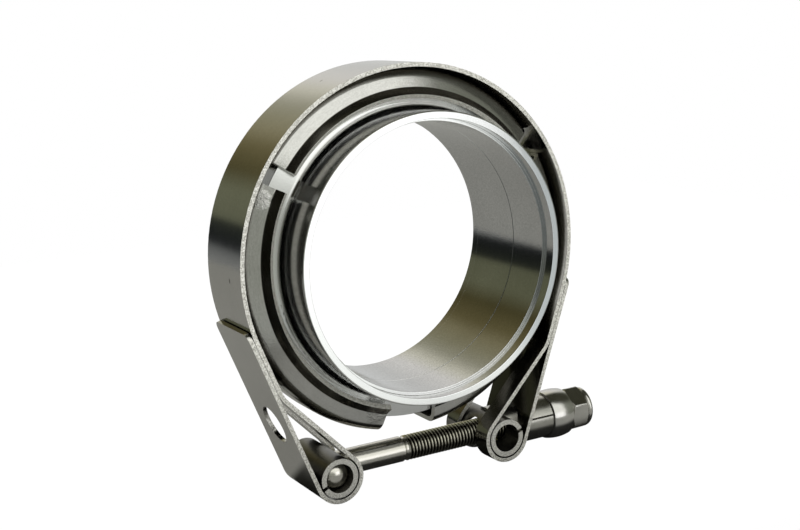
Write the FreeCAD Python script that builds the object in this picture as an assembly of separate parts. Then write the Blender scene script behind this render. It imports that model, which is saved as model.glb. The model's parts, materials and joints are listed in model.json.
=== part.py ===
import FreeCAD, Part
import os
from math import acos, asin, atan2, cos, degrees, hypot, pi, radians, sin, sqrt, tan

# V band clamp for a 63.5 mm (2.5 in) pipe joint, all sizes in millimetres.
# The clamp's axis is Y, the near (female) flange points to -Y, the tee bolt lies
# along X under the band and +Z is up. The origin is on the clamp's axis, in the
# plane where the two flanges meet, which is also the middle of the strap's width.

# Flanges
BORE_RADIUS = 31.5
SOCKET_STEP = 0.75
SOCKET_WALL = 1.75
SOCKET_DEPTH = 3.4
COLLAR_CHAMFER = 0.25
RIM_HEIGHT = 5.8
RIM_HALF_WIDTH = 5.4
V_ANGLE = 20.0
NECK_FILLET = 2.0
FRONT_LENGTH = 18.95
REAR_LENGTH = 16.6
SPIGOT_WALL = 1.8
SPIGOT_LENGTH = 3.1
SPIGOT_SIDE_GAP = 0.05
SPIGOT_END_GAP = 0.15

# V retainers: three pressed channels welded inside the strap
RETAINER_THICKNESS = 1.3
RETAINER_SEAT_GAP = 0.3
RETAINER_CROWN_GAP = 2.4
RETAINER_CORNER_RADIUS = 2.9
FLARE_RADIUS = 1.2
FLARE_HEIGHT = 1.7
FLARE_REACH = 1.93
LIP_CLEARANCE = 2.7
TOP_RETAINER_ANGLES = (36.5, 107.0)
LEFT_RETAINER_ANGLES = (150.5, 106.0)
RIGHT_RETAINER_ANGLES = (276.0, 110.5)

# Strap: one strip, folded back at both ends into a loop
STRAP_WIDTH = 19.0
STRAP_THICKNESS = 1.0
PLY_GAP = 0.08
JOINED_LENGTH = 13.5
JOINED_BEND_RADIUS = 7.0
TAB_OVERRUN = 4.0
TAB_CORNER = 2.2
TAB_HOLE_RADIUS = 4.8
TAB_HOLE_RISE = 16.3
SLOT_SIDE_CLEARANCE = 1.125
SLOT_SETBACK = 5.0
SLOT_END_ANGLE = -70.0
SLEEVE_OPENING_END_ANGLE = 265.0
LOOP_PLAY = 0.4
LOOP_SPACING = 46.8
LOOP_DROP = 6.5

# Trunnion tubes, rolled from sheet, one in each loop
TRUNNION_RADIUS = 4.75
TRUNNION_WALL = 1.25
TRUNNION_GAP = 0.8
HEAD_TUBE_SEAM_ANGLE = 204.0
NUT_TUBE_SEAM_ANGLE = 17.0

# Tee bolt, 1/4-28
BOLT_RADIUS = 3.175
BOLT_END_CHAMFER = 0.7
BOLT_END_RECESS = 1.8
BOLT_HOLE_CLEARANCE = 0.5
THREAD_LENGTH = 52.6
RUNOUT_WIDTH = 1.4
RUNOUT_DEPTH = 0.35
HEAD_PLAY = 0.3
HEAD_INSET = 1.2
HEAD_DOME_HEIGHT = 1.5
HEAD_CLEARANCE = 0.05

# Saddle sleeve, rolled from sheet, between the right loop and the nut
SLEEVE_BORE_CLEARANCE = 0.475
SLEEVE_WALL = 1.9
SLEEVE_REACH = 17.15
SLEEVE_SEAM_GAP = 0.45
SLEEVE_SEAM_ANGLE = 164.0
SADDLE_CLEARANCE = 0.15
SLEEVE_HOLE_CLEARANCE = 0.3

# Lock nut with a round collar
NUT_FACE_GAP = 0.05
NUT_COLLAR_RADIUS = 6.4
NUT_COLLAR_LENGTH = 6.4
NUT_COLLAR_EASE = 0.75
NUT_COLLAR_ROUND = 1.1
NUT_NECK_DEPTH = 0.35
NUT_NECK_LENGTH = 0.6
NUT_ACROSS_FLATS = 11.1
NUT_HEX_LENGTH = 6.2
NUT_HEX_CHAMFER = 1.0
NUT_HEX_CORNER_ANGLE = 12.0
NUT_THREAD_CLEARANCE = 0.05

# Worked out from the sizes above
SOCKET_RADIUS = BORE_RADIUS + SOCKET_STEP
COLLAR_RADIUS = SOCKET_RADIUS + SOCKET_WALL
RIM_RADIUS = COLLAR_RADIUS + RIM_HEIGHT
SPIGOT_RADIUS = BORE_RADIUS + SPIGOT_WALL
V_SLOPE = tan(radians(V_ANGLE))
CROWN_RADIUS = RIM_RADIUS + RETAINER_CROWN_GAP + RETAINER_THICKNESS / 2
LIP_END_RADIUS = COLLAR_RADIUS + LIP_CLEARANCE
FLARE_START_RADIUS = LIP_END_RADIUS + FLARE_HEIGHT
STRAP_INNER_RADIUS = CROWN_RADIUS + RETAINER_THICKNESS / 2
STRAP_MID_RADIUS = STRAP_INNER_RADIUS + STRAP_THICKNESS / 2
OUTER_PLY_RADIUS = STRAP_MID_RADIUS + STRAP_THICKNESS + PLY_GAP
LOOP_INNER_RADIUS = TRUNNION_RADIUS + LOOP_PLAY
LOOP_MID_RADIUS = LOOP_INNER_RADIUS + STRAP_THICKNESS / 2
TRUNNION_X = LOOP_SPACING / 2
TRUNNION_DROP = STRAP_INNER_RADIUS + LOOP_DROP
TRUNNION_BORE_RADIUS = TRUNNION_RADIUS - TRUNNION_WALL
HEAD_RADIUS = TRUNNION_BORE_RADIUS - HEAD_PLAY
HEAD_LENGTH = STRAP_WIDTH - 2 * HEAD_INSET
BOLT_HOLE_RADIUS = BOLT_RADIUS + BOLT_HOLE_CLEARANCE
SLOT_WIDTH = 2 * (BOLT_RADIUS + SLOT_SIDE_CLEARANCE)
SLEEVE_BORE_RADIUS = BOLT_RADIUS + SLEEVE_BORE_CLEARANCE
SLEEVE_RADIUS = SLEEVE_BORE_RADIUS + SLEEVE_WALL
SLEEVE_END = TRUNNION_X + SLEEVE_REACH
NUT_START = SLEEVE_END + NUT_FACE_GAP
NUT_COLLAR_END = NUT_START + NUT_COLLAR_LENGTH
NUT_HEX_START = NUT_COLLAR_END + NUT_NECK_LENGTH
NUT_END = NUT_HEX_START + NUT_HEX_LENGTH
BOLT_END = NUT_END - BOLT_END_RECESS
THREAD_START = BOLT_END - THREAD_LENGTH
CUTTER_DEPTH = 2 * STRAP_THICKNESS
HALF_TURN = 180.0
FULL_TURN = 2 * HALF_TURN
QUARTER_TURN = HALF_TURN / 2

X_AXIS = FreeCAD.Vector(1, 0, 0)
Y_AXIS = FreeCAD.Vector(0, 1, 0)
Z_AXIS = FreeCAD.Vector(0, 0, 1)
ORIGIN = FreeCAD.Vector(0, 0, 0)
BOLT_CENTRE = FreeCAD.Vector(0, 0, -TRUNNION_DROP)


# ---- Flat paths: lists of tangent lines and arcs in a plane of (u, v) ----

def polar(centre, radius, angle):
    """The point at an angle in degrees on a circle."""
    return (centre[0] + radius * cos(radians(angle)), centre[1] + radius * sin(radians(angle)))


def line(start, end):
    return ("line", start, end)


def arc(centre, radius, start_angle, sweep):
    return ("arc", centre, radius, start_angle, sweep)


def side_points(segment, offset):
    """Start, middle and end of a segment moved to its left by an offset."""
    if segment[0] == "line":
        (u0, v0), (u1, v1) = segment[1:]
        length = hypot(u1 - u0, v1 - v0)
        du, dv = -(v1 - v0) / length * offset, (u1 - u0) / length * offset
        middle = ((u0 + u1) / 2 + du, (v0 + v1) / 2 + dv)
        return (u0 + du, v0 + dv), middle, (u1 + du, v1 + dv)
    _, centre, radius, start, sweep = segment
    moved = radius - offset if sweep > 0 else radius + offset
    return tuple(polar(centre, moved, start + sweep * share) for share in (0, 0.5, 1))


def side_edge(segment, offset, place):
    start, middle, end = (place(point) for point in side_points(segment, offset))
    if segment[0] == "line":
        return Part.LineSegment(start, end).toShape()
    return Part.Arc(start, middle, end).toShape()


def ribbon(path, thickness, place):
    """A flat face that follows a path with a constant thickness."""
    half = thickness / 2
    left = [side_edge(segment, half, place) for segment in path]
    right = [side_edge(segment, -half, place) for segment in path]
    start_left, end_left = side_points(path[0], half)[0], side_points(path[-1], half)[2]
    start_right, end_right = side_points(path[0], -half)[0], side_points(path[-1], -half)[2]
    caps = [
        Part.LineSegment(place(start_left), place(start_right)).toShape(),
        Part.LineSegment(place(end_left), place(end_right)).toShape(),
    ]
    edges = Part.sortEdges(left + right + caps)[0]
    return Part.Face(Part.Wire(edges))


def rounded_path(points, radii):
    """Straight runs through the points, with a tangent arc at each inner point."""
    path = []
    start = points[0]
    for before, corner, after, radius in zip(points, points[1:], points[2:], radii):
        heading_in = atan2(corner[1] - before[1], corner[0] - before[0])
        heading_out = atan2(after[1] - corner[1], after[0] - corner[0])
        turn = (heading_out - heading_in + pi) % (2 * pi) - pi
        setback = radius * tan(abs(turn) / 2)
        side = 1 if turn > 0 else -1
        bend_start = (corner[0] - setback * cos(heading_in), corner[1] - setback * sin(heading_in))
        centre = (bend_start[0] - side * radius * sin(heading_in),
                  bend_start[1] + side * radius * cos(heading_in))
        start_angle = degrees(heading_in) - side * QUARTER_TURN
        path.append(line(start, bend_start))
        path.append(arc(centre, radius, start_angle, degrees(turn)))
        start = polar(centre, radius, start_angle + degrees(turn))
    path.append(line(start, points[-1]))
    return path


def in_xz(point):
    """Places a flat point (x, z) at the strap's near edge."""
    return FreeCAD.Vector(point[0], -STRAP_WIDTH / 2, point[1])


def in_radius_y(point):
    """Places a flat point (radius, y) in the half plane of +X."""
    return FreeCAD.Vector(point[0], point[1], 0)


# ---- Flanges ----

def neck_profile(length, direction):
    """Corner points of one flange from its rim to its bore, with y growing in a direction."""
    cone_foot = RIM_HALF_WIDTH + (RIM_RADIUS - COLLAR_RADIUS) * V_SLOPE
    setback = NECK_FILLET * tan(radians(QUARTER_TURN - V_ANGLE) / 2)
    on_cone = (COLLAR_RADIUS + setback * cos(radians(V_ANGLE)),
               cone_foot - setback * sin(radians(V_ANGLE)))
    on_collar = (COLLAR_RADIUS, cone_foot + setback)
    centre = (COLLAR_RADIUS + NECK_FILLET, on_collar[1])
    on_fillet = polar(centre, NECK_FILLET, HALF_TURN + (QUARTER_TURN - V_ANGLE) / 2)
    points = {
        "rim_joint": (RIM_RADIUS, 0),
        "rim_edge": (RIM_RADIUS, RIM_HALF_WIDTH),
        "on_cone": on_cone,
        "on_fillet": on_fillet,
        "on_collar": on_collar,
        "collar_end": (COLLAR_RADIUS, length - COLLAR_CHAMFER),
        "chamfer_end": (COLLAR_RADIUS - COLLAR_CHAMFER, length),
        "socket_mouth": (SOCKET_RADIUS, length),
        "socket_foot": (SOCKET_RADIUS, length - SOCKET_DEPTH),
        "bore_mouth": (BORE_RADIUS, length - SOCKET_DEPTH),
    }
    return {name: in_radius_y((point[0], direction * point[1])) for name, point in points.items()}


def flange(length, direction, joint_points):
    """A turned flange: the neck profile closed by the given joint face, spun round Y."""
    p = neck_profile(length, direction)
    joint = [in_radius_y(point) for point in joint_points]
    runs = [
        [joint[-1], p["rim_joint"], p["rim_edge"], p["on_cone"]],
        [p["on_collar"], p["collar_end"], p["chamfer_end"], p["socket_mouth"], p["socket_foot"],
         p["bore_mouth"], joint[0]],
        joint,
    ]
    edges = [Part.Arc(p["on_cone"], p["on_fillet"], p["on_collar"]).toShape()]
    for run in runs:
        for start, end in zip(run, run[1:]):
            if start.distanceToPoint(end) > 0:
                edges.append(Part.LineSegment(start, end).toShape())
    face = Part.Face(Part.Wire(Part.sortEdges(edges)[0]))
    return face.revolve(ORIGIN, Y_AXIS, FULL_TURN)


def front_flange():
    """Female flange: a shallow recess in the joint face takes the other's spigot."""
    recess_radius = SPIGOT_RADIUS + SPIGOT_SIDE_GAP
    recess_floor = -(SPIGOT_LENGTH + SPIGOT_END_GAP)
    joint = [(BORE_RADIUS, recess_floor), (recess_radius, recess_floor), (recess_radius, 0)]
    return flange(FRONT_LENGTH, -1, joint)


def rear_flange():
    """Male flange: its spigot centres it in the front flange."""
    joint = [(BORE_RADIUS, -SPIGOT_LENGTH), (SPIGOT_RADIUS, -SPIGOT_LENGTH), (SPIGOT_RADIUS, 0)]
    return flange(REAR_LENGTH, 1, joint)


# ---- Strap ----

def left_end():
    """Places on the strap's left end, as (x, z) points and angles in degrees."""
    loop = (-TRUNNION_X, -TRUNNION_DROP)
    reach = hypot(*loop)
    loop_bearing = degrees(atan2(loop[1], loop[0])) % FULL_TURN
    leg_normal = loop_bearing - degrees(acos((OUTER_PLY_RADIUS - LOOP_MID_RADIUS) / reach))
    along = (-sin(radians(leg_normal)), cos(radians(leg_normal)))
    leg_top = polar((0, 0), OUTER_PLY_RADIUS, leg_normal)
    leg_foot = polar(loop, LOOP_MID_RADIUS, leg_normal)
    ring_end = polar((0, 0), STRAP_MID_RADIUS, leg_normal)
    corner = (ring_end[0] + JOINED_LENGTH * along[0], ring_end[1] + JOINED_LENGTH * along[1])
    to_loop = (loop[0] - corner[0], loop[1] - corner[1])
    distance = hypot(*to_loop)
    inner_heading = degrees(atan2(to_loop[1], to_loop[0]) + asin(LOOP_MID_RADIUS / distance))
    inner_foot = polar(loop, LOOP_MID_RADIUS, inner_heading + QUARTER_TURN)
    tab_end = (leg_top[0] - TAB_OVERRUN * along[0], leg_top[1] - TAB_OVERRUN * along[1])
    return {
        "loop": loop, "leg_normal": leg_normal, "along": along, "leg_foot": leg_foot,
        "tab_end": tab_end, "ring_end": ring_end, "corner": corner,
        "inner_heading": inner_heading, "inner_foot": inner_foot,
    }


def left_end_path(end):
    """From the tab's free end, down the outer leg, round the loop and up to the ring."""
    sweep = (end["inner_heading"] + QUARTER_TURN) - end["leg_normal"] + FULL_TURN
    inner_leg = rounded_path([end["inner_foot"], end["corner"], end["ring_end"]], [JOINED_BEND_RADIUS])
    return [
        line(end["tab_end"], end["leg_foot"]),
        arc(end["loop"], LOOP_MID_RADIUS, end["leg_normal"], sweep),
    ] + inner_leg


def prism(face, width):
    """A face in the plane of the strap's near edge, extruded across the strap and centred on it."""
    solid = face.extrude(Y_AXIS * width)
    solid.translate(Y_AXIS * (STRAP_WIDTH - width) / 2)
    return solid


def cylinder_through(point, heading, radius, length):
    """A round cutter centred on an (x, z) point, its axis at an angle in the XZ plane."""
    axis = FreeCAD.Vector(cos(radians(heading)), 0, sin(radians(heading)))
    start = FreeCAD.Vector(point[0], 0, point[1]) - axis * (length / 2)
    return Part.makeCylinder(radius, length, start, axis)


def wrapped_slot(path, width):
    """Cutter for a slot that follows the folded strip, square at both ends."""
    return prism(ribbon(path, CUTTER_DEPTH, in_xz), width)


def bolt_slot(end, last_angle):
    """Cutters for the slot down the inner leg and round the loop to an angle on it."""
    heading = end["inner_heading"]
    top = polar(end["corner"], SLOT_SETBACK, heading)
    loop_start = heading + QUARTER_TURN
    path = [
        line(top, end["inner_foot"]),
        arc(end["loop"], LOOP_MID_RADIUS, loop_start, last_angle - loop_start),
    ]
    foot = polar(end["loop"], LOOP_MID_RADIUS, last_angle)
    return [
        wrapped_slot(path, SLOT_WIDTH),
        cylinder_through(top, loop_start, SLOT_WIDTH / 2, CUTTER_DEPTH),
        cylinder_through(foot, last_angle, SLOT_WIDTH / 2, CUTTER_DEPTH),
    ]


def sleeve_opening(end):
    """Cutters for the wider opening where the sleeve passes through the loop's outer side."""
    half_width = SLEEVE_RADIUS + SLEEVE_HOLE_CLEARANCE
    level_rise = (end["leg_foot"][1] - end["loop"][1]) / end["along"][1]
    path = [
        line(rise_along_leg(end, level_rise), end["leg_foot"]),
        arc(end["loop"], LOOP_MID_RADIUS, end["leg_normal"],
            SLEEVE_OPENING_END_ANGLE - end["leg_normal"]),
    ]
    loop_centre = FreeCAD.Vector(end["loop"][0], 0, end["loop"][1])
    return [
        wrapped_slot(path, 2 * half_width),
        Part.makeCylinder(half_width, 2 * LOOP_INNER_RADIUS, loop_centre, -X_AXIS),
    ]


def rise_along_leg(end, rise):
    """A point on the outer leg, a distance up it from where it leaves the loop."""
    return (end["leg_foot"][0] - rise * end["along"][0], end["leg_foot"][1] - rise * end["along"][1])


def tab_corner_cutters(end):
    """Rounds off the two corners of the tab's free end."""
    cutters = []
    tall = STRAP_THICKNESS * 1.5
    heading = end["leg_normal"]
    inward = FreeCAD.Vector(end["along"][0], 0, end["along"][1])
    outward = FreeCAD.Vector(cos(radians(heading)), 0, sin(radians(heading)))
    tip = FreeCAD.Vector(end["tab_end"][0], 0, end["tab_end"][1]) - outward * (STRAP_THICKNESS / 2)
    for side in (-1, 1):
        edge = tip + Y_AXIS * (side * STRAP_WIDTH / 2)
        centre = edge + inward * TAB_CORNER - Y_AXIS * (side * TAB_CORNER)
        corners = [edge, edge + inward * TAB_CORNER, centre, edge - Y_AXIS * (side * TAB_CORNER), edge]
        block = Part.Face(Part.makePolygon(corners)).extrude(outward * tall)
        cutters.append(block.cut(Part.makeCylinder(TAB_CORNER, tall, centre, outward)))
    return cutters


def band_strap():
    end = left_end()
    half_ring = arc((0, 0), STRAP_MID_RADIUS, end["leg_normal"], QUARTER_TURN - end["leg_normal"])
    half = prism(ribbon(left_end_path(end) + [half_ring], STRAP_THICKNESS, in_xz), STRAP_WIDTH)
    for cutter in tab_corner_cutters(end):
        half = half.cut(cutter)
    left, right = half, half
    for cutter in bolt_slot(end, SLOT_END_ANGLE):
        left = left.cut(cutter)
    hole_at = rise_along_leg(end, TAB_HOLE_RISE)
    left = left.cut(cylinder_through(hole_at, end["leg_normal"], TAB_HOLE_RADIUS, CUTTER_DEPTH))
    for cutter in bolt_slot(end, SLEEVE_OPENING_END_ANGLE - FULL_TURN) + sleeve_opening(end):
        right = right.cut(cutter)
    return left.fuse(right.mirror(ORIGIN, X_AXIS)).removeSplitter()


# ---- Retainers ----

def leg_reach(radius):
    """Distance from the joint plane to the middle of a retainer's leg at a radius."""
    stand_off = (RETAINER_SEAT_GAP + RETAINER_THICKNESS / 2) / cos(radians(V_ANGLE))
    return RIM_HALF_WIDTH + (RIM_RADIUS - radius) * V_SLOPE + stand_off


def retainer(start_angle, span):
    """A pressed channel: crown against the strap, legs at the V angle, flared lips."""
    half = [
        (LIP_END_RADIUS, leg_reach(FLARE_START_RADIUS) + FLARE_REACH),
        (FLARE_START_RADIUS, leg_reach(FLARE_START_RADIUS)),
        (CROWN_RADIUS, leg_reach(CROWN_RADIUS)),
    ]
    points = [(radius, -reach) for radius, reach in half] + half[::-1]
    radii = [FLARE_RADIUS, RETAINER_CORNER_RADIUS]
    profile = ribbon(rounded_path(points, radii + radii[::-1]), RETAINER_THICKNESS, in_radius_y)
    profile.rotate(ORIGIN, Y_AXIS, -start_angle)
    return profile.revolve(ORIGIN, Y_AXIS, -span)


# ---- Trunnion tubes, tee bolt, sleeve and nut ----

def split_tube(centre, axis, radius, bore_radius, length, seam, gap):
    """A tube rolled from sheet: a ring with an open seam that faces a given direction."""
    outer = Part.makeCylinder(radius, length, centre, axis)
    inner = Part.makeCylinder(bore_radius, length, centre, axis)
    across = axis.cross(seam) * gap
    corner = centre - across * 0.5
    beyond = seam * (2 * radius)
    path = [corner, corner + beyond, corner + beyond + across, corner + across, corner]
    slot = Part.Face(Part.makePolygon(path)).extrude(axis * length)
    return outer.cut(inner).cut(slot)


def trunnion_tube(x, seam_angle):
    centre = FreeCAD.Vector(x, -STRAP_WIDTH / 2, -TRUNNION_DROP)
    seam = FreeCAD.Vector(cos(radians(seam_angle)), 0, sin(radians(seam_angle)))
    return split_tube(centre, Y_AXIS, TRUNNION_RADIUS, TRUNNION_BORE_RADIUS, STRAP_WIDTH, seam,
                      TRUNNION_GAP)


def bolt_cutter(start, end):
    return Part.makeCylinder(BOLT_HOLE_RADIUS, end - start, BOLT_CENTRE + X_AXIS * start, X_AXIS)


def head_tube():
    """Left trunnion: the bolt leaves it on its right side only."""
    return trunnion_tube(-TRUNNION_X, HEAD_TUBE_SEAM_ANGLE).cut(bolt_cutter(-TRUNNION_X, 0))


def nut_tube():
    """Right trunnion: the bolt passes right through it."""
    tube = trunnion_tube(TRUNNION_X, NUT_TUBE_SEAM_ANGLE)
    return tube.cut(bolt_cutter(TRUNNION_X - TRUNNION_RADIUS, TRUNNION_X + TRUNNION_RADIUS))


def turned(points, centre, axis_end):
    """A solid spun round the line from centre along axis_end, from (distance, radius) points."""
    side = Y_AXIS if axis_end.cross(Y_AXIS).Length > 0 else Z_AXIS
    corners = [centre + axis_end * distance + side * radius for distance, radius in points]
    face = Part.Face(Part.makePolygon(corners + [corners[0]]))
    return face.revolve(centre, axis_end, FULL_TURN)


def domed_bar(centre):
    """The bolt's cross bar, along Y, with a domed end each way."""
    half = HEAD_LENGTH / 2 - HEAD_DOME_HEIGHT
    dome_radius = (HEAD_RADIUS ** 2 + HEAD_DOME_HEIGHT ** 2) / (2 * HEAD_DOME_HEIGHT)
    bar = Part.makeCylinder(HEAD_RADIUS, 2 * half, centre - Y_AXIS * half, Y_AXIS)
    for side in (-1, 1):
        ball_centre = centre + Y_AXIS * (side * (half + HEAD_DOME_HEIGHT - dome_radius))
        ball = Part.makeSphere(dome_radius, ball_centre)
        bar_end = centre + Y_AXIS * (side * half)
        cap = Part.makeCylinder(HEAD_RADIUS, 2 * HEAD_DOME_HEIGHT, bar_end, Y_AXIS * side)
        bar = bar.fuse(cap.common(ball))
    return bar.removeSplitter()


def tee_bolt():
    head_x = -TRUNNION_X + HEAD_PLAY - HEAD_CLEARANCE
    runout_start = THREAD_START - RUNOUT_WIDTH
    root = BOLT_RADIUS - RUNOUT_DEPTH
    shank = turned([
        (head_x, 0), (head_x, BOLT_RADIUS), (runout_start, BOLT_RADIUS),
        (runout_start + RUNOUT_DEPTH, root), (THREAD_START - RUNOUT_DEPTH, root),
        (THREAD_START, BOLT_RADIUS), (BOLT_END - BOLT_END_CHAMFER, BOLT_RADIUS),
        (BOLT_END, BOLT_RADIUS - BOLT_END_CHAMFER), (BOLT_END, 0),
    ], BOLT_CENTRE, X_AXIS)
    return shank.fuse(domed_bar(BOLT_CENTRE + X_AXIS * head_x)).removeSplitter()


def saddle_sleeve():
    """Rolled sleeve on the bolt, its end hollowed to sit on the right trunnion."""
    seam = FreeCAD.Vector(0, cos(radians(SLEEVE_SEAM_ANGLE)), sin(radians(SLEEVE_SEAM_ANGLE)))
    tube = split_tube(BOLT_CENTRE + X_AXIS * TRUNNION_X, X_AXIS, SLEEVE_RADIUS, SLEEVE_BORE_RADIUS,
                      SLEEVE_REACH, seam, SLEEVE_SEAM_GAP)
    saddle = Part.makeCylinder(TRUNNION_RADIUS + SADDLE_CLEARANCE, 4 * SLEEVE_RADIUS,
                               FreeCAD.Vector(TRUNNION_X, -2 * SLEEVE_RADIUS, -TRUNNION_DROP), Y_AXIS)
    return tube.cut(saddle)


def hexagon(start, length):
    """The nut's hexagonal end, chamfered on its outer corners."""
    corner_radius = NUT_ACROSS_FLATS / sqrt(3)
    corners = [BOLT_CENTRE + X_AXIS * start
               + Y_AXIS * (corner_radius * cos(radians(NUT_HEX_CORNER_ANGLE + 60 * k)))
               + Z_AXIS * (corner_radius * sin(radians(NUT_HEX_CORNER_ANGLE + 60 * k))) for k in range(7)]
    solid = Part.Face(Part.makePolygon(corners)).extrude(X_AXIS * length)
    flat_radius = NUT_ACROSS_FLATS / 2
    end = start + length
    envelope = turned([
        (start, 0), (start, flat_radius), (start + NUT_NECK_LENGTH, corner_radius),
        (end - NUT_HEX_CHAMFER, corner_radius), (end, flat_radius - NUT_HEX_CHAMFER / 2), (end, 0),
    ], BOLT_CENTRE, X_AXIS)
    return solid.common(envelope)


def lock_nut():
    face_radius = NUT_COLLAR_RADIUS - NUT_COLLAR_EASE
    collar = turned([
        (NUT_START, 0), (NUT_START, face_radius), (NUT_START + NUT_COLLAR_ROUND / 2, NUT_COLLAR_RADIUS),
        (NUT_COLLAR_END - NUT_COLLAR_ROUND, NUT_COLLAR_RADIUS), (NUT_COLLAR_END, face_radius),
        (NUT_COLLAR_END, 0),
    ], BOLT_CENTRE, X_AXIS)
    neck_radius = NUT_ACROSS_FLATS / 2 - NUT_NECK_DEPTH
    neck = Part.makeCylinder(neck_radius, NUT_NECK_LENGTH, BOLT_CENTRE + X_AXIS * NUT_COLLAR_END, X_AXIS)
    body = collar.fuse(neck).fuse(hexagon(NUT_HEX_START, NUT_HEX_LENGTH)).removeSplitter()
    thread = Part.makeCylinder(BOLT_RADIUS + NUT_THREAD_CLEARANCE, NUT_END - NUT_START,
                               BOLT_CENTRE + X_AXIS * NUT_START, X_AXIS)
    return body.cut(thread)


PARTS = {
    "band_strap": band_strap,
    "retainer_top": lambda: retainer(*TOP_RETAINER_ANGLES),
    "retainer_left": lambda: retainer(*LEFT_RETAINER_ANGLES),
    "retainer_right": lambda: retainer(*RIGHT_RETAINER_ANGLES),
    "front_flange": front_flange,
    "rear_flange": rear_flange,
    "tee_bolt": tee_bolt,
    "head_trunnion_tube": head_tube,
    "nut_trunnion_tube": nut_tube,
    "saddle_sleeve": saddle_sleeve,
    "lock_nut": lock_nut,
}

os.makedirs("parts", exist_ok=True)
for name, make in PARTS.items():
    shape = make()
    box = shape.BoundBox
    print("%-20s valid %s solids %d volume %.1f box x %.2f..%.2f y %.2f..%.2f z %.2f..%.2f" % (
        name, shape.isValid(), len(shape.Solids), shape.Volume,
        box.XMin, box.XMax, box.YMin, box.YMax, box.ZMin, box.ZMax))
    shape.exportStep("parts/%s.step" % name)
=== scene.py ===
import json
import math

import bmesh
import bpy
from mathutils import Matrix, Vector

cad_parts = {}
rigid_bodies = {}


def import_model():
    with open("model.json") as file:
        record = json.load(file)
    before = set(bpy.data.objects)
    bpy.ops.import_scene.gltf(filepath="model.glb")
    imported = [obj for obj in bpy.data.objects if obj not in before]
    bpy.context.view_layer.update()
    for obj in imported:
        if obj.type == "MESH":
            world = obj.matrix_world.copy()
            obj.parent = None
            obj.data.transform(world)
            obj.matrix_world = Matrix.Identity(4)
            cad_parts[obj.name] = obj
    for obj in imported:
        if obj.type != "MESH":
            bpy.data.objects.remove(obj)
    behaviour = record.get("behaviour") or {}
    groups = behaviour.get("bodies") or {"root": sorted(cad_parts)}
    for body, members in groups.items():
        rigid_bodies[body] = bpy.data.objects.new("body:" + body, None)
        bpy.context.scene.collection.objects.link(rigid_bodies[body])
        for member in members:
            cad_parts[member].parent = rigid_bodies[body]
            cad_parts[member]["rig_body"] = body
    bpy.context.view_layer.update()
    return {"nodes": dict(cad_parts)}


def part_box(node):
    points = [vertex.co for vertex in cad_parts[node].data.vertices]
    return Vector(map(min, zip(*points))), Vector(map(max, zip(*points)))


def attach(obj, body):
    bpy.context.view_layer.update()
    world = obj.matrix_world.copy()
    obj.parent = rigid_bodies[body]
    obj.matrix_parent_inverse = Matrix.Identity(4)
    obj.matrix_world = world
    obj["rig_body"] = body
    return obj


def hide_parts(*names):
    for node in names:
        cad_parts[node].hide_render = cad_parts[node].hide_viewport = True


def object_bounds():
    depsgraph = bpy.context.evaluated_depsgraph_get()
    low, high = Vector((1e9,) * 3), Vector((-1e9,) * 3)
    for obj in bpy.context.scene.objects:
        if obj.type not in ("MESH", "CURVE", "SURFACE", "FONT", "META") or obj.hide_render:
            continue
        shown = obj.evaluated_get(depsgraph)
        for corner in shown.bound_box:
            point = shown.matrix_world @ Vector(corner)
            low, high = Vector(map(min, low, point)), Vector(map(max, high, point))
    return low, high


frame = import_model()
nodes = frame["nodes"]
MM = 0.001


# ---- Flanges ----
# Two stainless rings, turned from bar: a conical rim, a rounded neck, a collar and a
# stepped socket for the pipe. The female one is in front, the male one behind it.

class Amount:
    """A number in a node tree, so that its maths reads as Python."""

    def __init__(self, tree, socket):
        self.tree = tree
        self.socket = socket

    def maths(self, operation, *others):
        inputs = dict(enumerate((self, *others)))
        node = add_node(self.tree, "ShaderNodeMath", inputs, operation=operation)
        return Amount(self.tree, node.outputs[0])

    def __add__(self, other):
        return self.maths("ADD", other)

    def __sub__(self, other):
        return self.maths("SUBTRACT", other)

    def __rsub__(self, other):
        return self.maths("MULTIPLY_ADD", -1.0, other)

    def __mul__(self, other):
        return self.maths("MULTIPLY", other)

    def __truediv__(self, other):
        return self.maths("DIVIDE", other)

    def __abs__(self):
        return self.maths("ABSOLUTE")

    __radd__ = __add__
    __rmul__ = __mul__

    def root(self):
        return self.maths("SQRT")

    def ramp(self, low, high):
        """0 up to low, 1 from high on, and smooth between them; falling if low is above high."""
        rising = low < high
        node = add_node(self.tree, "ShaderNodeMapRange", {
            "Value": self, "From Min": min(low, high), "From Max": max(low, high),
            "To Min": 0.0 if rising else 1.0, "To Max": 1.0 if rising else 0.0,
        }, interpolation_type="SMOOTHSTEP")
        return Amount(self.tree, node.outputs["Result"])


def plug(tree, value, socket):
    """Sets a socket to a number, a colour or a link."""
    if isinstance(value, Amount):
        tree.links.new(value.socket, socket)
    elif isinstance(value, bpy.types.NodeSocket):
        tree.links.new(value, socket)
    elif isinstance(value, tuple) and len(value) == 3 and len(socket.default_value) == 4:
        socket.default_value = value + (1.0,)
    else:
        socket.default_value = value


def add_node(tree, kind, inputs=None, **settings):
    """Adds a node: its settings are made first, then its sockets get their values or links."""
    node = tree.nodes.new(kind)
    for key, value in settings.items():
        if key == "stops":
            fill_ramp(node.color_ramp, value)
        else:
            setattr(node, key, value)
    for key, value in (inputs or {}).items():
        plug(tree, value, node.inputs[key])
    return node


def fill_ramp(ramp, stops):
    """Gives a colour ramp its stops, of which the first lies at 0 and the last at 1."""
    first, *between, last = stops
    ramp.elements[0].color = first[1] + (1.0,)
    ramp.elements[1].color = last[1] + (1.0,)
    for position, colour in between:
        ramp.elements.new(position).color = colour + (1.0,)


def parts(tree, vector):
    """The X, the Y and the Z of a vector."""
    node = add_node(tree, "ShaderNodeSeparateXYZ", {0: vector})
    return [Amount(tree, socket) for socket in node.outputs]


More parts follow.
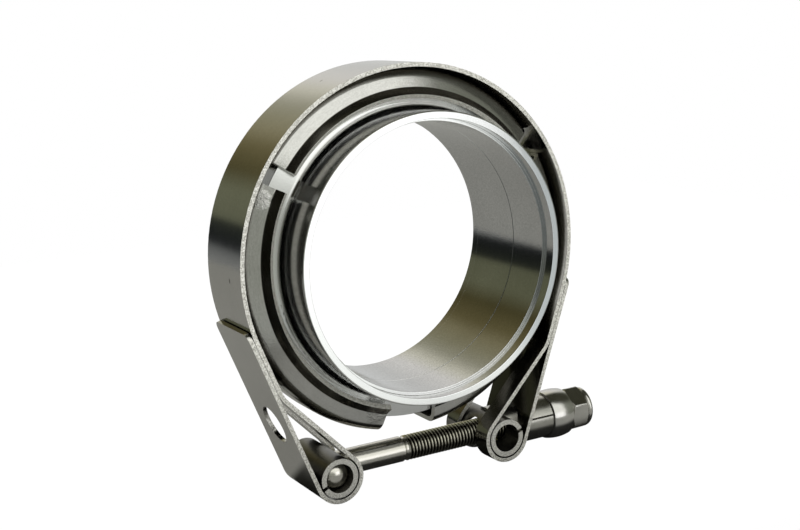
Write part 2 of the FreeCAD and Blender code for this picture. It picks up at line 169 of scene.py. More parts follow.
def mixed_colour(tree, share, first, second):
    """A colour between two others, by a share of 0 to 1."""
    # The colours go in at sockets 6 and 7, and the result comes out at 2.
    inputs = {"Factor": share, 6: first, 7: second}
    return add_node(tree, "ShaderNodeMix", inputs, data_type="RGBA").outputs[2]


class Finish:
    """A finish: one material, its Principled shader and the tools to vary it."""

    def __init__(self, name, metallic=1.0):
        self.material = bpy.data.materials.new(name)
        self.material.use_nodes = True
        self.tree = self.material.node_tree
        self.shader = self.tree.nodes["Principled BSDF"]
        self.set("Metallic", metallic)
        self.place = self.node("ShaderNodeTexCoord", output="Object")
        facing = self.node("ShaderNodeTexCoord", output="Normal")
        self.x, self.y, self.z = parts(self.tree, self.place)
        self.nx, self.ny, self.nz = parts(self.tree, facing)
        self.radius = (self.x * self.x + self.z * self.z).root()

    def node(self, kind, inputs=None, output=0):
        """Adds a node and gives back one of its outputs."""
        return add_node(self.tree, kind, inputs).outputs[output]

    def vector(self, x, y, z):
        return self.node("ShaderNodeCombineXYZ", {"X": x, "Y": y, "Z": z})

    def noise(self, at, scale=1.0, detail=3.0, roughness=0.55):
        """Noise from 0 to 1 at a position."""
        inputs = {"Vector": at, "Scale": scale, "Detail": detail, "Roughness": roughness}
        return Amount(self.tree, self.node("ShaderNodeTexNoise", inputs))

    def speckle(self, per_metre):
        """Fine, even grain from 0 to 1."""
        return self.noise(self.place, scale=per_metre, detail=2.0)

    def mix(self, share, first, second):
        return mixed_colour(self.tree, share, first, second)

    def set(self, name, value):
        """Gives one of the shader's sockets a value or a link."""
        plug(self.tree, value, self.shader.inputs[name])

    def colour(self, value):
        self.set("Base Color", value)

    def roughness(self, value):
        self.set("Roughness", value)

    def relief(self, height, depth):
        """Bumps the surface: height from 0 to 1, depth in metres."""
        self.set("Normal", self.node("ShaderNodeBump", {
            "Strength": 1.0, "Distance": depth, "Height": height}))


SAME_POINT = 0.002 * MM
SAME_FLAT_DEGREES = 0.4
SHARP_DEGREES = 32
SMOOTH_DEGREES = 28


def eased_copy(node, edge, name):
    """A copy of a piece with its sharp edges rounded off, standing in for the piece."""
    body = nodes[node]["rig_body"]
    mesh = nodes[node].data.copy()
    work = bmesh.new()
    work.from_mesh(mesh)
    bmesh.ops.remove_doubles(work, verts=work.verts, dist=SAME_POINT)
    bmesh.ops.dissolve_degenerate(work, edges=work.edges, dist=SAME_POINT)
    bmesh.ops.dissolve_limit(work, angle_limit=math.radians(SAME_FLAT_DEGREES),
                             verts=work.verts, edges=work.edges)
    work.to_mesh(mesh)
    work.free()
    mesh.materials.clear()
    piece = bpy.data.objects.new(name, mesh)
    bpy.context.scene.collection.objects.link(piece)
    bevel = piece.modifiers.new("eased edges", "BEVEL")
    bevel.width = edge
    bevel.segments = 2
    bevel.limit_method = "ANGLE"
    bevel.angle_limit = math.radians(SHARP_DEGREES)
    bevel.use_clamp_overlap = True
    piece = as_mesh(piece, name)
    smooth_by_angle(piece, SMOOTH_DEGREES)
    piece = even_shading(piece)
    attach(piece, body)
    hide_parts(node)
    return piece


def as_mesh(piece, name):
    """Turns a piece and its modifiers into a plain mesh."""
    depsgraph = bpy.context.evaluated_depsgraph_get()
    mesh = bpy.data.meshes.new_from_object(piece.evaluated_get(depsgraph), depsgraph=depsgraph)
    bpy.data.objects.remove(piece)
    mesh.name = name
    finished = bpy.data.objects.new(name, mesh)
    bpy.context.scene.collection.objects.link(finished)
    return finished


def smooth_by_angle(piece, degrees):
    """Shades smooth across edges flatter than an angle, and crisp across the others."""
    mesh = piece.data
    work = bmesh.new()
    work.from_mesh(mesh)
    for face in work.faces:
        face.smooth = True
    for edge in work.edges:
        edge.smooth = len(edge.link_faces) == 2 and edge.calc_face_angle(0.0) < math.radians(degrees)
    work.to_mesh(mesh)
    work.free()


def even_shading(piece):
    """Keeps the wide faces' shading straight, so that reflections run true to the edges."""
    weights = piece.modifiers.new("even shading", "WEIGHTED_NORMAL")
    weights.keep_sharp = True
    return as_mesh(piece, piece.name)


FLANGE_EDGE = 0.14 * MM
RINGS_PER_METRE = 9000.0
BORE_FROM_WALL = (33.1 * MM, 32.6 * MM)
# Where shade is painted into the bore: below and to the right.
BORE_SHADE_BELOW = (0.0, -6.0 * MM)
BORE_SHADE_BESIDE = (4.0 * MM, 20.0 * MM)
# Where a darker reflection is painted onto the faces: to the right and above.
DIM_REFLECTION_BESIDE = (12.0 * MM, 30.0 * MM)
DIM_REFLECTION_ABOVE = (-34.0 * MM, -20.0 * MM)


def turned_steel():
    """Lathe-turned stainless: fine rings, a satin bore with painted shade low on the right, bright
    faces with a painted darker reflection on the right.
    """
    steel = Finish("turned_steel")
    lanes = steel.vector(steel.radius * RINGS_PER_METRE, steel.y * RINGS_PER_METRE, 0.0)
    rings = steel.noise(lanes, detail=4.0)
    drift = steel.noise(steel.place, scale=55.0, detail=3.0)
    grain = steel.speckle(2600.0).ramp(0.3, 0.7)
    in_bore = steel.radius.ramp(*BORE_FROM_WALL)
    on_face = steel.ny.ramp(-0.8, -0.97)
    bright = steel.mix(rings * 0.5 + drift * 0.5, (0.60, 0.60, 0.59), (0.78, 0.78, 0.77))
    satin = steel.mix(grain * 0.6 + drift * 0.4, (0.40, 0.40, 0.40), (0.64, 0.64, 0.64))
    # Painted shade: the lower right of the bore is darkened towards olive, standing in for the shade
    # inside it.
    painted_bore_shade = steel.z.ramp(*BORE_SHADE_BELOW) * steel.x.ramp(*BORE_SHADE_BESIDE) * in_bore
    satin = steel.mix(painted_bore_shade * (0.75 - drift * 0.4), satin, (0.27, 0.26, 0.21))
    shade = steel.mix(in_bore * (1.0 - on_face), bright, satin)
    # Painted reflection: the faces' right side is dimmed to a bluish grey, standing in for a darker
    # reflection there.
    painted_dim_reflection = steel.x.ramp(*DIM_REFLECTION_BESIDE) * steel.z.ramp(*DIM_REFLECTION_ABOVE)
    face = steel.mix(painted_dim_reflection, (0.88, 0.89, 0.89), (0.50, 0.53, 0.55))
    steel.colour(steel.mix(on_face, shade, face))
    steel.roughness(0.09 + rings * 0.08 + on_face * 0.08)
    steel.relief(rings * 0.7 + grain * 0.3, 0.004 * MM)
    return steel.material


TURNED = turned_steel()
for flange in ("front_flange", "rear_flange"):
    ring = eased_copy(flange, FLANGE_EDGE, flange + "_turned")
    ring.data.materials.append(TURNED)


# ---- Retainers ----
# Three V channels, pressed from stainless sheet and spot welded inside the strap. Their
# flared lips end in a sheared, grainy edge, the fold is painted near black as a painted reflection,
# and the ends are crumpled.

RETAINER_EDGE = 0.16 * MM
CRUMPLED_ENDS = ((-37.2, 17.0, 2.6), (-11.5, -36.5, 4.0), (-35.0, 22.6, 1.4))


def crumpled(steel):
    """1 at the sheared ends, each given by its X, its Z and its reach in millimetres."""
    share = 0.0
    for x, z, reach in CRUMPLED_ENDS:
        dx = steel.x - x * MM
        dz = steel.z - z * MM
        share = (dx * dx + dz * dz).root().ramp(reach * MM, reach * 0.5 * MM) + share
    return share


def pressed_steel():
    """Drag marks run along the channel; the lip is raw metal and the fold carries a painted dark
    reflection.
    """
    steel = Finish("pressed_steel")
    angle = steel.z.maths("ARCTAN2", steel.x)
    lanes = steel.vector(steel.radius * 5200.0, steel.y * 5200.0, angle * 14.0)
    drag = steel.noise(lanes, detail=4.0)
    cloud = steel.noise(steel.place, scale=180.0, detail=4.0)
    grain = steel.speckle(2800.0).ramp(0.35, 0.65)
    crumple = steel.noise(steel.place, scale=900.0, detail=4.0, roughness=0.7).ramp(0.35, 0.65)
    outward = (steel.nx * steel.x + steel.nz * steel.z) / steel.radius
    lip = (steel.ny * -0.75 + outward * -0.66).ramp(0.93, 0.98)
    painted_fold_reflection = outward.ramp(0.40, 0.65) * steel.ny.ramp(-0.40, -0.55)
    pattern = drag * 0.5 + cloud * 0.35 + grain * 0.15
    sheet = steel.mix(pattern, (0.40, 0.395, 0.375), (0.76, 0.76, 0.74))
    # Painted reflection: the fold is darkened almost to black, standing in for the dark room it
    # mirrors.
    sheet = steel.mix(painted_fold_reflection * (0.95 - cloud * 0.3), sheet, (0.09, 0.08, 0.055))
    sheared = steel.mix(grain, (0.62, 0.61, 0.56), (0.95, 0.94, 0.89))
    steel.colour(steel.mix(lip, sheet, sheared))
    steel.set("Metallic", 1.0 - lip * 0.75)
    steel.roughness(0.11 + cloud * 0.10 + lip * 0.25)
    steel.relief(drag * 0.25 + grain * 0.25 + crumpled(steel) * crumple * 8.0, 0.014 * MM)
    return steel.material


PRESSED = pressed_steel()
for retainer in ("retainer_top", "retainer_left", "retainer_right"):
    channel = eased_copy(retainer, RETAINER_EDGE, retainer + "_pressed")
    channel.data.materials.append(PRESSED)


# ---- Strap ----
# One cold-rolled stainless strip, bent into a ring and folded back at both ends. Its faces
# have the mill's long grain, its slit edges are bright and grainy, and its loops are painted dark as
# shade.

STRAP_EDGE = 0.12 * MM
STRAP_RADIUS = 44.5 * MM
WELD_MARKS = ((181.0, -3.0), (198.0, -3.2), (112.0, 1.5))
WELD_MARK_RADIUS = 0.35 * MM
LOOP_X = 23.4 * MM
BOLT_AXIS_Z = -50.0 * MM
# Where shade is painted into the right loop.
LOOP_SHADE_BESIDE = (8.0 * MM, 18.0 * MM)
LOOP_SHADE_BELOW = (-18.0 * MM, -28.0 * MM)
LOOPS_BELOW = (-16.0 * MM, -26.0 * MM)


def weld_marks(steel):
    """1 in the small pits of the spot welds, each given by its angle and its place across."""
    pits = 0.0
    for angle, across in WELD_MARKS:
        dx = steel.x - STRAP_RADIUS * math.cos(math.radians(angle))
        dy = steel.y - across * MM
        dz = steel.z - STRAP_RADIUS * math.sin(math.radians(angle))
        reach = (dx * dx + dy * dy + dz * dz * 0.4).root()
        pits = reach.ramp(WELD_MARK_RADIUS * 1.4, WELD_MARK_RADIUS * 0.6) + pits
    return pits


def painted_shade_in_loops(steel):
    """1 on the faces that look in at the axis of either loop, where the strap is painted with shade.
    """
    away = abs(steel.x) - LOOP_X
    outward = away * steel.nx * steel.x.maths("SIGN") + (steel.z - BOLT_AXIS_Z) * steel.nz
    return outward.ramp(0.5 * MM, -0.5 * MM) * steel.z.ramp(*LOOPS_BELOW)


def strip_steel():
    """Long grain round the ring, pits at the welds, and painted shade in the loops."""
    steel = Finish("strip_steel")
    lanes = steel.vector(steel.x * 260.0, steel.y * 5200.0, steel.z * 260.0)
    grain = steel.noise(lanes, detail=4.0)
    cloud = steel.noise(steel.place, scale=75.0, detail=3.0)
    speckle = steel.speckle(3300.0)
    mottle = speckle.ramp(0.3, 0.7)
    slit = abs(steel.ny).ramp(0.75, 0.95)
    pits = weld_marks(steel)
    pattern = grain * 0.35 + cloud * 0.35 + mottle * 0.3
    face = steel.mix(pattern, (0.33, 0.325, 0.31), (0.57, 0.56, 0.54))
    # Painted shade: the right loop is darkened, standing in for the shade deep inside it.
    painted_loop_shade = steel.x.ramp(*LOOP_SHADE_BESIDE) * steel.z.ramp(*LOOP_SHADE_BELOW)
    face = steel.mix(painted_loop_shade * (0.70 - cloud * 0.25), face, (0.07, 0.065, 0.045))
    # Painted shade: faces that look in at a loop's axis are darkened, standing in for the shade inside
    # the loops.
    face = steel.mix(painted_shade_in_loops(steel) * (0.95 - cloud * 0.2), face, (0.04, 0.037, 0.026))
    face = steel.mix(pits * 0.85, face, (0.07, 0.06, 0.05))
    edge = steel.mix(mottle, (0.42, 0.41, 0.37), (0.96, 0.95, 0.90))
    steel.colour(steel.mix(slit, face, edge))
    steel.roughness(0.08 + grain * 0.10 + cloud * 0.04 + slit * 0.30)
    steel.relief(grain * 0.4 + speckle * 0.3 - pits * 0.8, 0.006 * MM)
    return steel.material


strap = eased_copy("band_strap", STRAP_EDGE, "strap_rolled")
strap.data.materials.append(strip_steel())


# ---- Trunnion tubes ----
# Two short tubes, rolled from sheet with an open seam, one in each loop of the strap.
# The left one holds the bolt's cross bar, the right one lets the bolt through.

TUBE_EDGE = 0.12 * MM


def rolled_steel():
    """Dark walls, partly their darker finish and partly painted shade of the loops, with bright,
    grainy cut ends.
    """
    steel = Finish("rolled_steel")
    lanes = steel.vector(steel.x * 900.0, steel.y * 2600.0, steel.z * 900.0)
    grain = steel.noise(lanes, detail=4.0)
    speckle = steel.speckle(4000.0)
    cut = abs(steel.ny).ramp(0.75, 0.95)
    # Partly painted shade: the walls are darker than the finish alone, standing in for the shade
    # inside the loops.
    wall = steel.mix(grain, (0.06, 0.058, 0.05), (0.20, 0.195, 0.18))
    end = steel.mix(speckle.ramp(0.3, 0.7), (0.36, 0.355, 0.32), (0.88, 0.87, 0.83))
    steel.colour(steel.mix(cut, wall, end))
    steel.roughness(0.27 + grain * 0.12 + cut * 0.18)
    steel.relief(grain * 0.5 + speckle * 0.5, 0.008 * MM)
    return steel.material


ROLLED = rolled_steel()
for tube in ("head_trunnion_tube", "nut_trunnion_tube"):
    roll = eased_copy(tube, TUBE_EDGE, tube + "_rolled")
    roll.data.materials.append(ROLLED)


# ---- Tee bolt ----
# A stainless bolt with a domed cross bar for a head. Its thread is rolled, 28 turns to
# the inch, and starts beyond a short runout groove.

BOLT_EDGE = 0.10 * MM
THREAD_START = -0.6 * MM
THREAD_PITCH = 25.4 / 28 * MM
THREAD_CREST = 3.15 * MM
THREAD_ROOT = 2.62 * MM
GROOVE_ROOT = 2.825 * MM
CHAMFER_END = 2.475 * MM
CREST_TO_ROOT_TURNS = (0.04, 0.44)
STEPS_PER_TURN = 12
STEPS_ROUND = 40
SPARE_TURNS = 3
MERGE_DISTANCE = 0.004 * MM
CUT_TOLERANCE = 0.0001 * MM
THREAD_SMOOTH_DEGREES = 50


def thread_tree():
    """Geometry Nodes for a screw thread along X: a sheet of rows that each run along the helix."""
    tree = bpy.data.node_groups.new("screw thread", "GeometryNodeTree")
    tree.interface.new_socket("Geometry", in_out="OUTPUT", socket_type="NodeSocketGeometry")
    for label in ("Start", "Pitch", "Crest", "Root", "Turns", "End"):
        tree.interface.new_socket(label, in_out="INPUT", socket_type="NodeSocketFloat")
    tree.interface.new_socket("Finish", in_out="INPUT", socket_type="NodeSocketMaterial")
    given = add_node(tree, "NodeGroupInput").outputs
    start, pitch, crest, root, turns, end = (Amount(tree, given[k]) for k in range(6))
    rows = turns * float(STEPS_PER_TURN) + 1.0
    grid = add_node(tree, "GeometryNodeMeshGrid", {
        "Size X": 1.0, "Size Y": 1.0, "Vertices X": STEPS_ROUND + 1, "Vertices Y": rows})
    position = add_node(tree, "GeometryNodeInputPosition")
    sheet_x, sheet_y, _ = parts(tree, position.outputs[0])
    share_round = sheet_x + 0.5
    turn = (sheet_y + 0.5) * turns
    along = start + (turn + share_round - 1.5) * pitch
    from_crest = abs(turn.maths("WRAP", 0.5, -0.5))
    depth = from_crest.ramp(*CREST_TO_ROOT_TURNS)
    radius = crest - depth * (crest - root)
    into_groove = (along - start) + GROOVE_ROOT
    into_end = (end - along) + CHAMFER_END
    radius = radius.maths("MINIMUM", into_groove).maths("MINIMUM", into_end)
    angle = share_round * math.tau
    spot = add_node(tree, "ShaderNodeCombineXYZ", {
        0: along, 1: radius * angle.maths("COSINE"), 2: radius * angle.maths("SINE")})
    moved = add_node(tree, "GeometryNodeSetPosition", {
        "Geometry": grid.outputs["Mesh"], "Position": spot.outputs[0]})
    joined = add_node(tree, "GeometryNodeMergeByDistance", {
        "Geometry": moved.outputs[0], "Distance": MERGE_DISTANCE})
    realized = add_node(tree, "GeometryNodeRealizeInstances", {"Geometry": joined.outputs[0]})
    dressed = add_node(tree, "GeometryNodeSetMaterial", {
        "Geometry": realized.outputs[0], "Material": given[6]})
    add_node(tree, "NodeGroupOutput", {0: dressed.outputs[0]})
    return tree


def threaded_rod(name, axis_z, end, finish):
    """The bolt's threaded length, cut square at both ends."""
    blank = bpy.data.objects.new(name, bpy.data.meshes.new(name))
    bpy.context.scene.collection.objects.link(blank)
    threads = blank.modifiers.new("thread", "NODES")
    threads.node_group = thread_tree()
    turns = math.ceil((end - THREAD_START) / THREAD_PITCH) + SPARE_TURNS
    sizes = {
        "Start": THREAD_START, "Pitch": THREAD_PITCH, "Crest": THREAD_CREST, "Root": THREAD_ROOT,
        "Turns": float(turns), "End": end, "Finish": finish,
    }
    for item in threads.node_group.interface.items_tree:
        if item.in_out == "INPUT":
            threads[item.identifier] = sizes[item.name]
    rod = as_mesh(blank, name)
    work = bmesh.new()
    work.from_mesh(rod.data)
    for x, keep in ((THREAD_START, -1), (end, 1)):
        cut_square(work, x, keep)
    bmesh.ops.recalc_face_normals(work, faces=work.faces)
    bmesh.ops.translate(work, verts=work.verts, vec=(0.0, 0.0, axis_z))
    work.to_mesh(rod.data)
    work.free()
    return rod


def cut_square(work, x, side):
    """Cuts a mesh by the plane at x, drops what lies on one side of it and closes the cut."""
    parts = work.verts[:] + work.edges[:] + work.faces[:]
    cut = bmesh.ops.bisect_plane(work, geom=parts, plane_co=(x, 0, 0), plane_no=(side, 0, 0),
                                 clear_outer=True, dist=CUT_TOLERANCE)
    edges = [part for part in cut["geom_cut"] if isinstance(part, bmesh.types.BMEdge)]
    bmesh.ops.edgeloop_fill(work, edges=edges)


def from_bolt_axis(steel):
    """The distance of a surface from the bolt's axis."""
    height = steel.z - BOLT_AXIS_Z
    return (steel.y * steel.y + height * height).root()


def bolt_steel():
    """Drawn bar, plain on the shank; the thread is painted darker towards black roots as shade, under
    bright crests.
    """
    steel = Finish("bolt_steel")
    lanes = steel.vector(steel.x * 300.0, steel.y * 3000.0, steel.z * 3000.0)
    drawn = steel.noise(lanes, detail=4.0)
    speckle = steel.speckle(2200.0)
    past_groove = steel.x.ramp(-0.9 * MM, -0.4 * MM)
    # Painted shade: the thread darkens from its crests down to near black at the roots.
    crest = from_bolt_axis(steel).ramp(2.75 * MM, 3.1 * MM)
    plain = steel.mix(drawn * 0.6 + speckle * 0.4, (0.46, 0.45, 0.40), (0.82, 0.80, 0.74))
    thread = steel.mix(crest, (0.03, 0.028, 0.022), (0.80, 0.78, 0.68))
    steel.colour(steel.mix(past_groove, plain, thread))
    steel.roughness(0.15 + speckle * 0.12)
    steel.relief(drawn * 0.5 + speckle * 0.5, 0.006 * MM)
    return steel.material


BOLT_STEEL = bolt_steel()
bolt_low, bolt_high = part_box("tee_bolt")
bolt_axis_z = (bolt_low.z + bolt_high.z) / 2
shank = eased_copy("tee_bolt", BOLT_EDGE, "tee_bolt_shank")
shank_mesh = bmesh.new()
shank_mesh.from_mesh(shank.data)
cut_square(shank_mesh, THREAD_START, 1)
shank_mesh.to_mesh(shank.data)
shank_mesh.free()
shank.data.materials.append(BOLT_STEEL)
rod = threaded_rod("tee_bolt_thread", bolt_axis_z, bolt_high.x, BOLT_STEEL)
smooth_by_angle(rod, THREAD_SMOOTH_DEGREES)
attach(rod, "clamp")


# ---- Sleeve ----
# A rolled sleeve between the right loop and the nut, its end hollowed to sit on the
# trunnion tube. The open seam runs along its front.

def sleeve_steel():
    """Drawn marks along the bolt, with cloudy patches."""
    steel = Finish("sleeve_steel")
    lanes = steel.vector(steel.x * 700.0, steel.y * 2400.0, steel.z * 2400.0)
    drawn = steel.noise(lanes, detail=4.0)
    cloud = steel.noise(steel.place, scale=260.0, detail=3.0)
    steel.colour(steel.mix(drawn * 0.5 + cloud * 0.5, (0.33, 0.325, 0.295), (0.62, 0.61, 0.57)))
    steel.roughness(0.16 + cloud * 0.14)
    steel.relief(drawn, 0.008 * MM)
    return steel.material


sleeve = eased_copy("saddle_sleeve", TUBE_EDGE, "saddle_sleeve_rolled")
sleeve.data.materials.append(sleeve_steel())


# ---- Lock nut ----
# A turned hexagon nut: a barrel-shaped collar bears on the sleeve, then come the hexagon with
# its chamfered corners and a small end bead. It is lightly polished, with tool marks round it.

NUT_COLLAR_RADIUS = 6.4 * MM
NUT_COLLAR_SHARE = 0.485
NUT_COLLAR_BULGE = 0.35 * MM
NUT_COLLAR_ROUND = 0.25 * MM
NUT_HEX_SHARE = 0.87
NUT_APOTHEM = 5.25 * MM
NUT_CORNER_RADIUS = 5.96 * MM
NUT_CORNER_ANGLE = 36.0
NUT_UNDERCUT = 0.12 * MM
NUT_INNER_CHAMFER = 0.45 * MM
NUT_OUTER_CHAMFER = 0.6 * MM
NUT_BEAD_GROOVE = 0.42 * MM
NUT_BEAD_DROP = 0.75 * MM
NUT_BEAD_FULLNESS = 0.9
NUT_BORE_RADIUS = 3.2 * MM
NUT_STEPS_ROUND = 144
COLLAR_STEPS = 24
CURVE_STEPS = 12


def shares(steps):
    """Even shares from 0 to 1."""
    return [step / steps for step in range(steps + 1)]


def collar_stations(end):
    """Stations (place, radius, hexagonal) over the collar, from its face to the hexagon."""
    stations = [(0.0, NUT_BORE_RADIUS + 0.4 * MM, False),
                (0.0, NUT_COLLAR_RADIUS - 0.8 * MM, False),
                (0.08 * MM, NUT_COLLAR_RADIUS - 0.55 * MM, False)]
    for share in shares(COLLAR_STEPS):
        place = NUT_COLLAR_ROUND + share * (end - 2 * NUT_COLLAR_ROUND)
        stations.append((place, NUT_COLLAR_RADIUS - NUT_COLLAR_BULGE * (2 * share - 1) ** 2, False))
    stations.append((end, NUT_COLLAR_RADIUS - 0.75 * MM, False))
    stations.append((end + 0.05 * MM, NUT_APOTHEM - NUT_UNDERCUT, False))
    return stations


def hexagon_stations(start, end):
    """Stations over the hexagon, whose corners are chamfered at both ends."""
    low = NUT_APOTHEM - NUT_UNDERCUT
    rise = NUT_CORNER_RADIUS - low
    stations = [(start + share * NUT_INNER_CHAMFER, low + share * rise, True)
                for share in shares(CURVE_STEPS)]
    for share in shares(CURVE_STEPS):
        place = end - (1 - share) * NUT_OUTER_CHAMFER
        stations.append((place, NUT_CORNER_RADIUS - share * rise, True))
    return stations


def bead_stations(start, length):
    """Stations over the bead, and back along the bore."""
    groove = NUT_APOTHEM - NUT_BEAD_GROOVE
    stations = [(start + 0.05 * MM, groove, False), (start + 0.2 * MM, groove, False)]
    bead = (length - start - 0.2 * MM) / 2
    for share in shares(CURVE_STEPS):
        turn = math.pi * (1 - share)
        place = length - bead + bead * math.cos(turn)
        rise = bead * NUT_BEAD_FULLNESS * math.sin(turn)
        stations.append((place, NUT_APOTHEM - NUT_BEAD_DROP + rise, False))
    stations.append((length - 0.3 * MM, NUT_BORE_RADIUS + 0.5 * MM, False))
    stations.append((length - 0.7 * MM, NUT_BORE_RADIUS, False))
    stations.append((0.4 * MM, NUT_BORE_RADIUS, False))
    return stations


def nut_profile(length):
    """The nut's outline, from its face along the outside and back along the bore."""
    collar_end = NUT_COLLAR_SHARE * length
    hex_end = NUT_HEX_SHARE * length
    hexagon = hexagon_stations(collar_end + 0.3 * MM, hex_end)
    return collar_stations(collar_end) + hexagon + bead_stations(hex_end, length)


def turned_ring(name, start, axis_z, stations):
    """A closed ring round the bolt's axis, with hexagonal stretches."""
    side = math.radians(60)
    points = []
    for place, radius, hexagonal in stations:
        for step in range(NUT_STEPS_ROUND):
            angle = math.tau * step / NUT_STEPS_ROUND
            reach = radius
            if hexagonal:
                reach = min(radius, NUT_APOTHEM / math.cos(angle % side - side / 2))
            turn = angle + math.radians(NUT_CORNER_ANGLE)
            points.append((start + place, reach * math.cos(turn), axis_z + reach * math.sin(turn)))
    rings = len(stations)
    faces = []
    for ring in range(rings):
        here = ring * NUT_STEPS_ROUND
        there = (ring + 1) % rings * NUT_STEPS_ROUND
        for step in range(NUT_STEPS_ROUND):
            after = (step + 1) % NUT_STEPS_ROUND
            faces.append((here + step, there + step, there + after, here + after))
    mesh = bpy.data.meshes.new(name)
    mesh.from_pydata(points, [], faces)
    work = bmesh.new()
    work.from_mesh(mesh)
    bmesh.ops.recalc_face_normals(work, faces=work.faces)
    work.to_mesh(mesh)
    work.free()
    piece = bpy.data.objects.new(name, mesh)
    bpy.context.scene.collection.objects.link(piece)
    return piece


def nut_steel():
    """Tool marks round the axis, under a light polish."""
    steel = Finish("nut_steel")
    lanes = steel.vector(steel.x * 6000.0, from_bolt_axis(steel) * 6000.0, 0.0)
    rings = steel.noise(lanes, detail=3.0)
    cloud = steel.noise(steel.place, scale=320.0, detail=4.0)
    steel.colour(steel.mix(rings * 0.4 + cloud * 0.6, (0.42, 0.415, 0.39), (0.76, 0.75, 0.72)))
    steel.roughness(0.12 + cloud * 0.14)
    steel.relief(rings * 0.6 + cloud * 0.4, 0.010 * MM)
    return steel.material


nut_low, nut_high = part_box("lock_nut")
nut = turned_ring("lock_nut_turned", nut_low.x, bolt_axis_z, nut_profile(nut_high.x - nut_low.x))
smooth_by_angle(nut, SMOOTH_DEGREES)
nut.data.materials.append(nut_steel())
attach(nut, nodes["lock_nut"]["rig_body"])
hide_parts("lock_nut")


# ---- Studio ----
# Polished steel shows the room more than itself. Pale paper lies below, dark at the front left
# and with a painted shadow under the bolt, lamps hang in front, and the wall behind is bright right
# and dark left.

FLOOR_GAP = 0.05 * MM
FLOOR_SIDE = 0.35
FLOOR_BACK = 0.35
FLOOR_FRONT = 0.075
CARD_EDGE_X = (-75.0 * MM, -30.0 * MM)
CARD_EDGE_Y = (0.0, 30.0 * MM)
BOLT_SHADE_Y = (14.0 * MM, 9.0 * MM)
BOLT_SHADE_X = (-40.0 * MM, -30.0 * MM)
PAPER_GLOW = 0.09
BACKDROP_SHARE = 0.93
BACKDROP_GLOW = 1.08


def floor_paper():
    """Paper that is white to look at, but has a dark card and a painted shadow in what the steel
    reflects.
    """
    paper = Finish("floor_paper", metallic=0.0)
    beside = paper.x.ramp(*CARD_EDGE_X).maths("MAXIMUM", paper.y.ramp(*CARD_EDGE_Y))
    # Painted shadow: a dark strip under the bolt stands in for its shadow on the paper.
    painted_bolt_shadow = abs(paper.y).ramp(*BOLT_SHADE_Y) * paper.x.ramp(*BOLT_SHADE_X)
    lit = beside * (1.0 - painted_bolt_shadow)
    paper.colour(paper.mix(lit, (0.04, 0.04, 0.04), (0.72, 0.72, 0.72)))
    paper.roughness(0.8)
    paper.set("Emission Color", paper.mix(lit, (0.0, 0.0, 0.0), (1.0, 1.0, 1.0)))
    paper.set("Emission Strength", PAPER_GLOW)
    seen = Amount(paper.tree, paper.node("ShaderNodeLightPath", output="Is Camera Ray"))
    backdrop = paper.node("ShaderNodeEmission", {
        "Color": (1.0, 1.0, 1.0), "Strength": BACKDROP_GLOW})
    mixed = paper.node("ShaderNodeMixShader", {
        0: seen * BACKDROP_SHARE, 1: paper.shader.outputs[0], 2: backdrop})
    plug(paper.tree, mixed, paper.tree.nodes["Material Output"].inputs[0])
    return paper.material


def studio_floor():
    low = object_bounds()[0][2] - FLOOR_GAP
    corners = [(-FLOOR_SIDE, -FLOOR_FRONT), (FLOOR_SIDE, -FLOOR_FRONT),
               (FLOOR_SIDE, FLOOR_BACK), (-FLOOR_SIDE, FLOOR_BACK)]
    mesh = bpy.data.meshes.new("floor")
    mesh.from_pydata([(x, y, low) for x, y in corners], [], [(0, 1, 2, 3)])
    floor = bpy.data.objects.new("floor", mesh)
    bpy.context.scene.collection.objects.link(floor)
    floor.data.materials.append(floor_paper())


class Room:
    """The world's node tree, lit by direction."""

    def __init__(self, light):
        world = bpy.data.worlds.new("studio")
        bpy.context.scene.world = world
        world.use_nodes = True
        self.tree = world.node_tree
        direction = add_node(self.tree, "ShaderNodeTexCoord").outputs["Generated"]
        self.x, self.y, self.z = parts(self.tree, direction)
        self.light = light

    def towards(self, x, y, z, inner, outer):
        """1 within an angle of a direction, falling to 0 at a wider angle."""
        length = math.sqrt(x * x + y * y + z * z)
        closeness = self.x * (x / length) + self.y * (y / length) + self.z * (z / length)
        return closeness.ramp(math.cos(math.radians(outer)), math.cos(math.radians(inner)))

    def wall(self, stops):
        """A colour by bearing round the Y axis, in degrees from +X towards +Z."""
        bearing = (self.z.maths("ARCTAN2", self.x) / math.tau + 1.0).maths("FRACT")
        around = [(degrees / 360.0, colour) for degrees, colour in stops]
        around.append((1.0, stops[0][1]))
        return add_node(self.tree, "ShaderNodeValToRGB", {0: bearing}, stops=around).outputs[0]

    def lay(self, share, colour):
        """Paints a colour over what is there, by a share of 0 to 1."""
        self.light = mixed_colour(self.tree, share, self.light, colour)


# The colour of the wall behind, by bearing in degrees.
BACK_WALL = (
    (0, (0.72, 0.73, 0.72)), (26, (0.74, 0.74, 0.72)), (50, (0.95, 0.93, 0.89)),
    (64, (0.88, 0.86, 0.72)), (78, (0.50, 0.49, 0.38)), (92, (0.42, 0.40, 0.27)),
    (104, (0.38, 0.345, 0.21)), (116, (0.22, 0.19, 0.09)), (135, (0.12, 0.105, 0.045)),
    (150, (0.22, 0.23, 0.15)), (170, (0.20, 0.21, 0.14)), (173, (0.03, 0.035, 0.03)),
    (189, (0.01, 0.012, 0.015)), (192, (0.20, 0.21, 0.21)), (208, (0.38, 0.39, 0.38)),
    (255, (0.46, 0.47, 0.46)), (310, (0.55, 0.57, 0.57)), (345, (0.55, 0.57, 0.56)),
)
BACK_WALL_FROM = (0.35, 0.6)


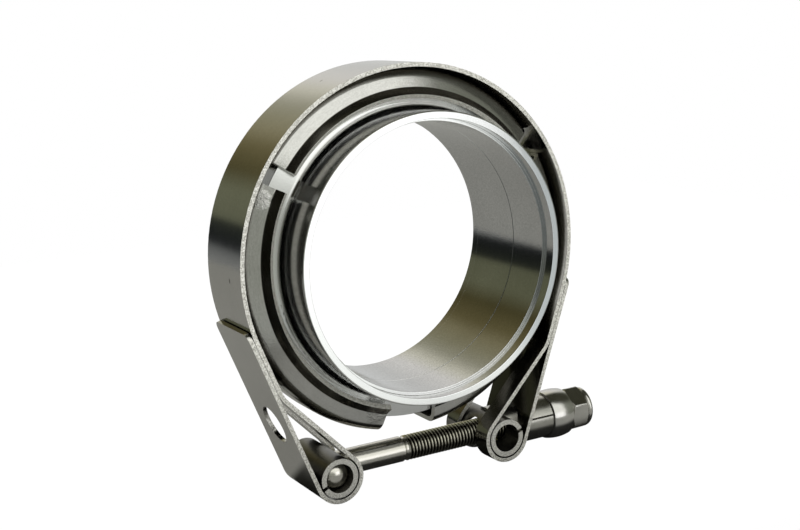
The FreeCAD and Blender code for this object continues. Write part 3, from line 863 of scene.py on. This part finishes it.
def studio_room():
    room = Room((0.40, 0.41, 0.38))
    # The side wall on the right is dim above the horizon.
    room.lay(room.x.ramp(0.45, 0.7) * room.z.ramp(-0.25, 0.05), (0.22, 0.23, 0.19))
    # Two black cards stand on the left, one low and one high.
    room.lay(room.towards(-0.99, 0.08, 0.10, 28, 44), (0.012, 0.012, 0.008))
    room.lay(room.towards(-0.75, -0.16, 0.64, 20, 34), (0.03, 0.028, 0.02))
    # The main soft box hangs high in front, below a dark ceiling.
    room.lay(room.towards(0.0, -0.78, 0.62, 27, 38), (1.25, 1.26, 1.20))
    room.lay(room.z.ramp(0.90, 0.96), (0.07, 0.07, 0.045))
    room.lay(room.towards(0.47, 0.0, 0.88, 22, 38), (0.045, 0.045, 0.03))
    # Three smaller lamps stand at the front right: low, high and level with the clamp.
    room.lay(room.towards(0.43, -0.80, -0.42, 12, 23), (0.95, 0.97, 0.93))
    room.lay(room.towards(0.39, -0.87, 0.31, 10, 18), (1.25, 1.25, 1.20))
    room.lay(room.towards(0.34, -0.94, 0.03, 10, 18), (1.7, 1.7, 1.7))
    # A grey screen stands low at the front left.
    room.lay(room.towards(-0.30, -0.95, -0.02, 10, 24), (0.36, 0.37, 0.33))
    room.lay(room.y.ramp(*BACK_WALL_FROM), room.wall(BACK_WALL))
    background = room.tree.nodes["Background"]
    plug(room.tree, room.light, background.inputs["Color"])
    seen = add_node(room.tree, "ShaderNodeLightPath").outputs["Is Camera Ray"]
    white = add_node(room.tree, "ShaderNodeBackground", {"Color": (1.0, 1.0, 1.0)})
    mixed = add_node(room.tree, "ShaderNodeMixShader", {
        0: seen, 1: background.outputs[0], 2: white.outputs[0]})
    plug(room.tree, mixed.outputs[0], room.tree.nodes["World Output"].inputs[0])


VIEW_AZIMUTH = -29.0
VIEW_ELEVATION = 11.54
VIEW_ROLL = -2.89
VIEW_DISTANCE = 0.30544
VIEW_AIM = Vector((-0.00761, -0.01487, -0.00059))
LENS_MM = 60.37
NEAREST_SEEN = 0.01


def studio_camera():
    azimuth, elevation, roll = (math.radians(a) for a in (VIEW_AZIMUTH, VIEW_ELEVATION, VIEW_ROLL))
    back = Vector((math.sin(azimuth) * math.cos(elevation), -math.cos(azimuth) * math.cos(elevation),
                   math.sin(elevation)))
    level = Vector((0, 0, 1)).cross(back).normalized()
    upright = back.cross(level)
    right = level * math.cos(roll) + upright * math.sin(roll)
    up = back.cross(right)
    lens = bpy.data.cameras.new("camera")
    lens.lens = LENS_MM
    lens.clip_start = NEAREST_SEEN
    camera = bpy.data.objects.new("camera", lens)
    turn = Matrix((right, up, back)).transposed().to_4x4()
    camera.matrix_world = Matrix.Translation(VIEW_AIM + back * VIEW_DISTANCE) @ turn
    bpy.context.scene.collection.objects.link(camera)
    bpy.context.scene.camera = camera


studio_floor()
studio_room()
studio_camera()
bpy.context.scene.view_settings.view_transform = "Standard"
